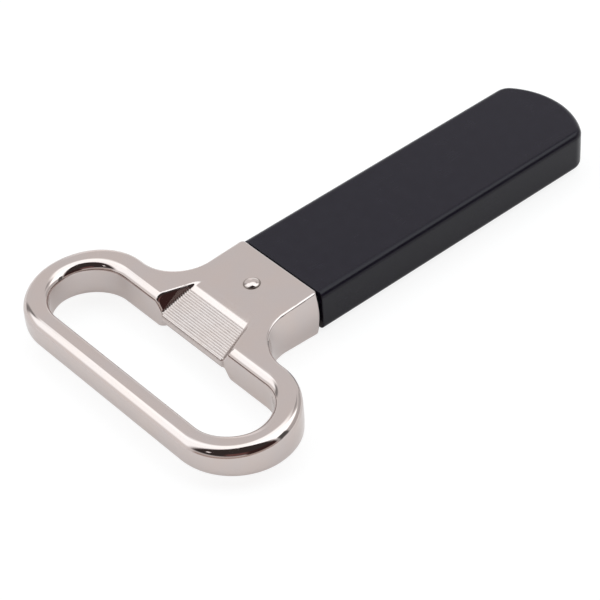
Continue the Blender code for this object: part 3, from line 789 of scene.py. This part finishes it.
def make_blade(name, hand, reach):
    """A sheet-metal blade, hollow across, toed in and thinned to its tip, with its folded ear.

    A hand of -1 puts it on the -X side with its ear low, and 1 turns it half round.
    """
    bm = bmesh.new()
    thinning = bm.verts.layers.deform.new()
    fold_start = EAR_LEVEL - EAR_BEND_RADIUS
    rows = []
    ear_ends = []
    for step in range(EAR_ROWS + 1):
        turn = math.pi * (step / EAR_ROWS - 1 / 2)
        y = -RIVET_FROM_JOINT + EAR_RADIUS * math.sin(turn)
        rows.append((y, -BLADE_HALF_WIDTH, fold_start, 0))
        ear_ends.append(-EAR_RADIUS * math.cos(turn))
    rows.append((-EAR_RELIEF_START, -BLADE_HALF_WIDTH, fold_start, 0))
    for y, half_width in blade_rows(reach):
        rows.append((y, -half_width, half_width, smooth_step(y / reach)))
    grid = []
    for y, low, high, toe in rows:
        line = []
        curve = smooth_step((y - BLADE_FLAT_ROOT) / BLADE_BLEND)
        for column in range(BLADE_WIDTH_SEGMENTS + 1):
            z = mix(low, high, column / BLADE_WIDTH_SEGMENTS)
            hollow = curve * BLADE_HOLLOW * (z / BLADE_HALF_WIDTH) ** 2
            x = BLADE_MIDDLE - hollow - toe * BLADE_TOE_IN
            vert = bm.verts.new((hand * x, y, hand * z))
            vert[thinning][0] = 1 - toe * (1 - BLADE_TIP_THICKNESS / BLADE_THICKNESS)
            line.append(vert)
        grid.append(line)
    for line, after in zip(grid, grid[1:]):
        for column in range(BLADE_WIDTH_SEGMENTS):
            bm.faces.new((line[column], line[column + 1], after[column + 1], after[column]))
    folds = []
    flat_start = BLADE_MIDDLE - EAR_BEND_RADIUS
    for ear_end, line in zip(ear_ends, grid):
        y = line[-1].co.y
        places = []
        for step in range(1, EAR_BEND_SEGMENTS + 1):
            angle = math.pi / 2 * step / EAR_BEND_SEGMENTS
            out, up = EAR_BEND_RADIUS * math.cos(angle), EAR_BEND_RADIUS * math.sin(angle)
            places.append((flat_start + out, fold_start + up))
        for step in range(1, EAR_FLAT_SEGMENTS + 1):
            places.append((mix(flat_start, ear_end, step / EAR_FLAT_SEGMENTS), EAR_LEVEL))
        fold = [bm.verts.new((hand * x, y, hand * z)) for x, z in places]
        for vert in fold:
            vert[thinning][0] = 1
        folds.append([line[-1]] + fold)
    for fold, after in zip(folds, folds[1:]):
        for step in range(len(fold) - 1):
            bm.faces.new((fold[step], fold[step + 1], after[step + 1], after[step]))
    blade = add_mesh(name, bm)
    blade.vertex_groups.new(name="thickness")
    sheet = blade.modifiers.new("Sheet thickness", "SOLIDIFY")
    sheet.thickness = BLADE_THICKNESS
    sheet.offset = 0
    sheet.use_even_offset = True
    sheet.vertex_group = "thickness"
    hole = bmesh.new()
    bore = RIVET_RADIUS + SEAT_GAP
    bottom = hand * EAR_LEVEL - BLADE_THICKNESS
    top = hand * EAR_LEVEL + BLADE_THICKNESS
    lathe(hole, ((0, bottom), (bore, bottom), (bore, top), (0, top)), ROUND_SEGMENTS)
    punch = add_mesh(f"{name}_punch", hole)
    punch.location.y = -RIVET_FROM_JOINT
    cut = blade.modifiers.new("Rivet hole", "BOOLEAN")
    cut.object = punch
    cut.operation = "DIFFERENCE"
    cut.solver = "EXACT"
    edge = blade.modifiers.new("Deburred edges", "BEVEL")
    edge.width = BLADE_EDGE_BEVEL
    edge.segments = BLADE_BEVEL_SEGMENTS
    edge.limit_method = "ANGLE"
    edge.angle_limit = math.radians(BLADE_BEVEL_ANGLE)
    bpy.context.view_layer.update()
    evaluated = blade.evaluated_get(bpy.context.evaluated_depsgraph_get())
    finished = bpy.data.meshes.new_from_object(evaluated)
    blade.modifiers.clear()
    blade.data = finished
    finished.name = name
    bpy.data.objects.remove(punch)
    finished.transform(Matrix.Translation(DESIGN_ORIGIN))
    finished.shade_smooth()
    finished.set_sharp_from_angle(angle=math.radians(BLADE_SHARP_ANGLE))
    return blade


def camera_axes():
    """The camera's right, up and back directions."""
    azimuth, elevation = math.radians(CAMERA_AZIMUTH), math.radians(CAMERA_ELEVATION)
    level_back = Vector((math.sin(azimuth), -math.cos(azimuth), 0))
    back = level_back * math.cos(elevation) + Vector((0, 0, math.sin(elevation)))
    level_right = Vector((math.cos(azimuth), math.sin(azimuth), 0))
    level_up = back.cross(level_right)
    roll = math.radians(CAMERA_ROLL)
    right = level_right * math.cos(roll) + level_up * math.sin(roll)
    up = level_up * math.cos(roll) - level_right * math.sin(roll)
    return right, up, back


def make_camera():
    right, up, back = camera_axes()
    data = bpy.data.cameras.new("camera")
    data.sensor_width = SENSOR_WIDTH
    data.lens = CAMERA_FOCAL_PIXELS / FRAME_PIXELS * SENSOR_WIDTH
    data.clip_start = CAMERA_DISTANCE / CAMERA_CLIP_FACTOR
    data.clip_end = CAMERA_DISTANCE * CAMERA_CLIP_FACTOR
    camera = bpy.data.objects.new("camera", data)
    bpy.context.scene.collection.objects.link(camera)
    place = DESIGN_ORIGIN + right * CAMERA_RIGHT + up * CAMERA_UP + back * CAMERA_DISTANCE
    turned = Matrix((right, up, back)).transposed().to_4x4()
    camera.matrix_world = Matrix.Translation(place) @ turned
    bpy.context.scene.camera = camera


# Shader nodes


def new_material(name):
    material = bpy.data.materials.new(name)
    material.use_nodes = True
    return material, material.node_tree


def add_node(tree, kind, inputs, **settings):
    """A shader node; each input is a value, or another node's output to be linked."""
    node = tree.nodes.new(f"ShaderNode{kind}")
    for name, value in settings.items():
        setattr(node, name, value)
    for key, value in inputs.items():
        if isinstance(value, bpy.types.NodeSocket):
            tree.links.new(value, node.inputs[key])
        else:
            node.inputs[key].default_value = value
    return node


def calculate(tree, operation, *values):
    return add_node(tree, "Math", dict(enumerate(values)), operation=operation).outputs[0]


def ramp(tree, value, start, end, low=0.0, high=1.0, soft=False):
    """Goes from low to high while the value goes from start to end, and stays level beyond."""
    inputs = {"Value": value, "From Min": start, "From Max": end, "To Min": low, "To Max": high}
    kind = "SMOOTHSTEP" if soft else "LINEAR"
    return add_node(tree, "MapRange", inputs, interpolation_type=kind).outputs["Result"]


def blend_color(tree, share, first, second):
    inputs = {0: share}
    for slot, color in ((6, first), (7, second)):
        inputs[slot] = color if isinstance(color, bpy.types.NodeSocket) else (*color, 1)
    return add_node(tree, "Mix", inputs, data_type="RGBA").outputs[2]


def noise(tree, place, scale, detail=2.0):
    inputs = {"Vector": place, "Scale": scale, "Detail": detail}
    return add_node(tree, "TexNoise", inputs).outputs["Fac"]


def stretched_noise(tree, place, across, along, turn=0.0, detail=1.0):
    """Noise drawn out into fine lines along +Y, or at an angle to it."""
    inputs = {"Vector": place, "Rotation": (0, 0, math.radians(turn))}
    turned = add_node(tree, "Mapping", inputs).outputs[0]
    inputs = {"Vector": turned, "Scale": (across, along, across)}
    return noise(tree, add_node(tree, "Mapping", inputs).outputs[0], 1.0, detail)


def hairlines(tree, place, turns):
    """Fine scratches in a few directions, in patches: 1 on a scratch."""
    total = None
    for number, turn in enumerate(turns):
        across = SCRATCH_ACROSS_SCALE * (1 + number / SCRATCH_SCALE_PART)
        lines = stretched_noise(tree, place, across, SCRATCH_ALONG_SCALE, turn)
        line = ramp(tree, lines, *SCRATCH_LINE_RANGE)
        total = line if total is None else calculate(tree, "MAXIMUM", total, line)
    patches = ramp(tree, noise(tree, place, SCRATCH_PATCH_SCALE, detail=1.0), *SCRATCH_PATCH_RANGE)
    return calculate(tree, "MULTIPLY", total, patches)


def attribute(tree, name):
    """What mark() kept on the mesh under that name."""
    return add_node(tree, "Attribute", {}, attribute_name=name).outputs["Fac"]


def rubbed_edges(tree, place, scale, limits, detail=2.0):
    """The mesh's marked edges, where noise lets them show as rubbed."""
    patches = ramp(tree, noise(tree, place, scale, detail), *limits)
    return calculate(tree, "MULTIPLY", attribute(tree, "edge"), patches)


def shade_round_rivet_rim(tree, place, outer):
    """Painted shade at the rim of the rivet's head, fading out towards the radius given."""
    centre = DESIGN_ORIGIN - Vector((0, RIVET_FROM_JOINT, 0))
    flat = add_node(tree, "VectorMath", {0: place, 1: (1, 1, 0)}, operation="MULTIPLY").outputs[0]
    inputs = {0: flat, 1: (centre.x, centre.y, 0)}
    away = add_node(tree, "VectorMath", inputs, operation="DISTANCE").outputs["Value"]
    return ramp(tree, away, outer, RIVET_HEAD_RADIUS, 0, RIVET_RIM_SHADE, soft=True)


def ribbed_area(tree, place):
    """1 on the ribs of both ramps, and 0 elsewhere."""
    split = add_node(tree, "SeparateXYZ", {0: place})
    out = calculate(tree, "ABSOLUTE", split.outputs["X"])
    behind = ramp(tree, split.outputs["Y"], RIBS_START_Y + RIB_PITCH / 2, RIBS_START_Y)
    beside = calculate(tree, "LESS_THAN", out, RAMP_TIP_WIDTH / 2)
    tip_y = JOINT_Y - TOOTH_TIP_FROM_JOINT
    ahead = calculate(tree, "GREATER_THAN", split.outputs["Y"], tip_y)
    return calculate(tree, "MULTIPLY", behind, calculate(tree, "MULTIPLY", beside, ahead))


def bumps(tree, *layers):
    """Stacks bump layers, each a value and the height in metres that it stands for."""
    normal = None
    for height, distance in layers:
        inputs = {"Height": height, "Distance": distance, "Strength": 1.0}
        if normal is not None:
            inputs["Normal"] = normal
        normal = add_node(tree, "Bump", inputs).outputs[0]
    return normal


def finish_shader(tree, color, roughness, normal, metallic, specular=0.5):
    """Links what varies over the surface, and sets what is the same all over on the shader."""
    shader = tree.nodes["Principled BSDF"]
    tree.links.new(color, shader.inputs["Base Color"])
    tree.links.new(roughness, shader.inputs["Roughness"])
    tree.links.new(normal, shader.inputs["Normal"])
    shader.inputs["Metallic"].default_value = metallic
    shader.inputs["Specular IOR Level"].default_value = specular


def make_nickel(name, wave_height, rim_shade_from):
    """Bright plate: waves, faint peel, hairlines, rubbed edges, dull hollows, and painted shade in
    the hollows, in the slots, on the ribs and round the rivet's rim.
    """
    material, tree = new_material(name)
    place = add_node(tree, "TexCoord", {}).outputs["Object"]
    wave = noise(tree, place, CASTING_WAVE_SCALE, detail=1.0)
    peel = noise(tree, place, CASTING_PEEL_SCALE)
    scratches = hairlines(tree, place, NICKEL_SCRATCH_TURNS)
    cloud = ramp(tree, noise(tree, place, NICKEL_CLOUD_SCALE, detail=3.0), *NICKEL_CLOUD_RANGE)
    rubbed = rubbed_edges(tree, place, NICKEL_RUB_SCALE, NICKEL_RUB_RANGE)
    hollow_shade_specks = noise(tree, place, NICKEL_HOLLOW_SHADE_SCALE)
    hollow_shade_specks = ramp(tree, hollow_shade_specks, *NICKEL_HOLLOW_SHADE_RANGE, *NICKEL_HOLLOW_PAINTED_SHADES)
    ribbed = ribbed_area(tree, place)
    # Painted shade, broken into specks, in the hollows
    painted_shade = calculate(tree, "MULTIPLY", attribute(tree, "hollow"), hollow_shade_specks)
    # Painted shade, in full, on the slots' inner walls
    painted_shade = calculate(tree, "MAXIMUM", painted_shade, attribute(tree, "inner"))
    # Painted shade round the rim of the rivet's head
    painted_shade = calculate(tree, "MAXIMUM", painted_shade, shade_round_rivet_rim(tree, place, rim_shade_from))
    # Painted shade, light, on the ribbed ramps
    painted_shade = calculate(tree, "MAXIMUM", painted_shade, calculate(tree, "MULTIPLY", ribbed, RIB_PAINTED_SHADE))
    color = blend_color(tree, cloud, NICKEL, NICKEL_WARM)
    share = calculate(tree, "MULTIPLY", rubbed, NICKEL_RUB_SHADE)
    color = blend_color(tree, share, color, NICKEL_RUBBED)
    color = blend_color(tree, painted_shade, color, NICKEL_PAINTED_SHADE)
    dullest = NICKEL_ROUGHNESS + NICKEL_CLOUD_DULLNESS
    roughness = ramp(tree, cloud, 0, 1, NICKEL_ROUGHNESS, dullest)
    roughness = calculate(tree, "MULTIPLY_ADD", scratches, NICKEL_SCRATCH_DULLNESS, roughness)
    roughness = calculate(tree, "MULTIPLY_ADD", painted_shade, NICKEL_PAINTED_SHADE_DULLNESS, roughness)
    roughness = calculate(tree, "MULTIPLY_ADD", ribbed, RIB_DULLNESS, roughness)
    layers = ((wave, wave_height), (peel, CASTING_PEEL_HEIGHT), (scratches, -NICKEL_SCRATCH_DEPTH))
    finish_shader(tree, color, roughness, bumps(tree, *layers), 1.0)
    return material


def make_steel(name):
    """Cold-rolled spring steel: grain along the blade, cloudy sheen, a few drawn scratches."""
    material, tree = new_material(name)
    place = add_node(tree, "TexCoord", {}).outputs["Object"]
    scales = (STEEL_GRAIN_ACROSS_SCALE, STEEL_GRAIN_ALONG_SCALE)
    grain = stretched_noise(tree, place, *scales, detail=3.0)
    cloud = ramp(tree, noise(tree, place, STEEL_CLOUD_SCALE, detail=3.0), *STEEL_CLOUD_RANGE)
    scratches = hairlines(tree, place, STEEL_SCRATCH_TURNS)
    clouded = calculate(tree, "MULTIPLY", cloud, STEEL_CLOUD_SHADE)
    shade = calculate(tree, "MULTIPLY_ADD", grain, STEEL_GRAIN_SHADE, clouded)
    color = blend_color(tree, shade, STEEL, STEEL_DARK)
    dullest = STEEL_ROUGHNESS + STEEL_GRAIN_DULLNESS
    roughness = ramp(tree, grain, *STEEL_GRAIN_RANGE, STEEL_ROUGHNESS, dullest)
    roughness = calculate(tree, "MULTIPLY_ADD", scratches, STEEL_SCRATCH_DULLNESS, roughness)
    normal = bumps(tree, (grain, STEEL_GRAIN_HEIGHT), (scratches, -STEEL_SCRATCH_DEPTH))
    finish_shader(tree, color, roughness, normal, 1.0)
    return material


def make_plastic(name):
    """Satin black moulding: fine grain, slow sink waves, scuffs, polished edges, matt inside."""
    material, tree = new_material(name)
    place = add_node(tree, "TexCoord", {}).outputs["Object"]
    grain = noise(tree, place, PLASTIC_GRAIN_SCALE)
    wave = noise(tree, place, PLASTIC_WAVE_SCALE, detail=1.0)
    cloud = ramp(tree, noise(tree, place, PLASTIC_CLOUD_SCALE, detail=4.0), *PLASTIC_CLOUD_RANGE)
    scratches = hairlines(tree, place, PLASTIC_SCRATCH_TURNS)
    rubbed = rubbed_edges(tree, place, PLASTIC_RUB_SCALE, PLASTIC_RUB_RANGE, detail=3.0)
    inner = attribute(tree, "inner")
    color = blend_color(tree, cloud, PLASTIC, PLASTIC_PALE)
    share = calculate(tree, "MULTIPLY", scratches, PLASTIC_SCRATCH_SHADE)
    color = blend_color(tree, share, color, PLASTIC_RUBBED)
    color = blend_color(tree, rubbed, color, PLASTIC_RUBBED)
    glossiest = PLASTIC_ROUGHNESS - PLASTIC_CLOUD_GLOSS
    dullest = PLASTIC_ROUGHNESS + PLASTIC_CLOUD_DULLNESS
    roughness = ramp(tree, cloud, 0, 1, glossiest, dullest)
    roughness = calculate(tree, "MULTIPLY_ADD", rubbed, -PLASTIC_RUB_GLOSS, roughness)
    roughness = calculate(tree, "MULTIPLY_ADD", scratches, PLASTIC_SCRATCH_DULLNESS, roughness)
    roughness = calculate(tree, "MULTIPLY_ADD", inner, PLASTIC_INNER_DULLNESS, roughness)
    normal = bumps(tree, (wave, PLASTIC_WAVE_HEIGHT), (grain, PLASTIC_GRAIN_HEIGHT))
    finish_shader(tree, color, roughness, normal, 0.0, PLASTIC_SPECULAR)
    return material


# Studio


def card_mask(tree, turn, rise, middle, half_width, lower, upper, softness):
    """1 on the card, fading to 0 over its soft edges."""
    off = calculate(tree, "WRAP", calculate(tree, "SUBTRACT", turn, middle), -180, 180)
    off = calculate(tree, "ABSOLUTE", off)
    across = ramp(tree, off, half_width + softness, half_width - softness, soft=True)
    above = ramp(tree, rise, lower - softness, lower + softness, soft=True)
    below = ramp(tree, rise, upper + softness, upper - softness, soft=True)
    return calculate(tree, "MULTIPLY", across, calculate(tree, "MULTIPLY", above, below))


def make_dome():
    """The studio round the object, seen only in reflections and in the light that it gives."""
    bm = bmesh.new()
    rings = []
    for row in range(DOME_ROWS):
        rise = math.radians(mix(DOME_LOWEST, 90, row / DOME_ROWS))
        ring = []
        for column in range(DOME_COLUMNS):
            turn = 2 * math.pi * column / DOME_COLUMNS
            out, up = DOME_RADIUS * math.cos(rise), DOME_RADIUS * math.sin(rise)
            ring.append(bm.verts.new((out * math.sin(turn), out * math.cos(turn), up)))
        rings.append(ring)
    for lower, upper in zip(rings, rings[1:]):
        for column in range(DOME_COLUMNS):
            after = (column + 1) % DOME_COLUMNS
            bm.faces.new((lower[column], lower[after], upper[after], upper[column]))
    bm.faces.new(rings[-1])
    dome = add_mesh("studio_dome", bm)
    material, tree = new_material("studio_light")
    tree.nodes.clear()
    place = add_node(tree, "NewGeometry", {}).outputs["Position"]
    split = add_node(tree, "SeparateXYZ", {0: place})
    level = calculate(tree, "DIVIDE", split.outputs["Z"], DOME_RADIUS)
    rise = calculate(tree, "DEGREES", calculate(tree, "ARCSINE", level))
    turn = calculate(tree, "ARCTAN2", split.outputs["X"], split.outputs["Y"])
    turn = calculate(tree, "DEGREES", turn)
    color = (DOME_PLAIN, DOME_PLAIN, DOME_PLAIN)
    for middle, half_width, lower, upper, softness, brightness, tint in CARDS.values():
        mask = card_mask(tree, turn, rise, middle, half_width, lower, upper, softness)
        color = blend_color(tree, mask, color, [brightness * part for part in tint])
    glow = add_node(tree, "Emission", {"Color": color}).outputs[0]
    add_node(tree, "OutputMaterial", {"Surface": glow})
    dome.data.materials.append(material)
    dome.visible_camera = False


def make_floor():
    """White floor that keeps the shadow: it glows in views and mirrors, and is clear from below."""
    bm = bmesh.new()
    bmesh.ops.create_grid(bm, x_segments=1, y_segments=1, size=FLOOR_HALF_SIZE)
    floor = add_mesh("floor", bm)
    material, tree = new_material("floor_white")
    tree.nodes.clear()
    path = add_node(tree, "LightPath", {})
    glossy = path.outputs["Is Glossy Ray"]
    seen = path.outputs["Is Camera Ray"]
    seen = calculate(tree, "MAXIMUM", seen, path.outputs["Is Transmission Ray"])
    mirrored = calculate(tree, "MULTIPLY", glossy, FLOOR_MIRROR_SHARE)
    strength = calculate(tree, "MULTIPLY", calculate(tree, "MAXIMUM", seen, mirrored), FLOOR_GLOW)
    glow = add_node(tree, "Emission", {"Strength": strength}).outputs[0]
    shade = ramp(tree, glossy, 0, 1, FLOOR_DIFFUSE, FLOOR_MIRROR_DIFFUSE)
    matt = add_node(tree, "BsdfDiffuse", {"Color": shade}).outputs[0]
    both = add_node(tree, "AddShader", {0: matt, 1: glow}).outputs[0]
    clear = add_node(tree, "BsdfTransparent", {}).outputs[0]
    beneath = add_node(tree, "NewGeometry", {}).outputs["Backfacing"]
    surface = add_node(tree, "MixShader", {0: beneath, 1: both, 2: clear}).outputs[0]
    add_node(tree, "OutputMaterial", {"Surface": surface})
    floor.data.materials.append(material)


def make_world():
    """A white world, which the camera sees behind the object, and plain Standard colours."""
    world = bpy.data.worlds.new("studio")
    world.use_nodes = True
    world.node_tree.nodes["Background"].inputs["Color"].default_value = (*WHITE, 1)
    bpy.context.scene.world = world
    bpy.context.scene.view_settings.view_transform = "Standard"


handle = make_handle()
sheath = make_sheath()
rivet = make_rivet()
long_blade = make_blade("long_blade", -1, LONG_TIP_Y - JOINT_Y)
short_blade = make_blade("short_blade", 1, SHORT_TIP_Y - JOINT_Y)
make_camera()
make_dome()
make_floor()
make_world()
casting_plate = make_nickel("nickel_on_casting", CASTING_WAVE_HEIGHT, RIVET_RIM_SHADE_OUTER)
rivet_plate = make_nickel("nickel_on_rivet", 0, RIVET_RIM_SHADE_INNER)
steel = make_steel("rolled_spring_steel")
plastic = make_plastic("satin_black_plastic")
handle.data.materials.append(casting_plate)
rivet.data.materials.append(rivet_plate)
long_blade.data.materials.append(steel)
short_blade.data.materials.append(steel)
sheath.data.materials.append(plastic)
PIECES = (
    (handle, "puller", "handle", "nickel_casting"),
    (rivet, "puller", "rivet", "nickel_rivet"),
    (long_blade, "puller", "long_prong", "spring_steel"),
    (short_blade, "puller", "short_prong", "spring_steel"),
    (sheath, "cover", "sheath", "black_plastic"),
)
for item, body, node, slot in PIECES:
    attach(item, body)
    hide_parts(node)
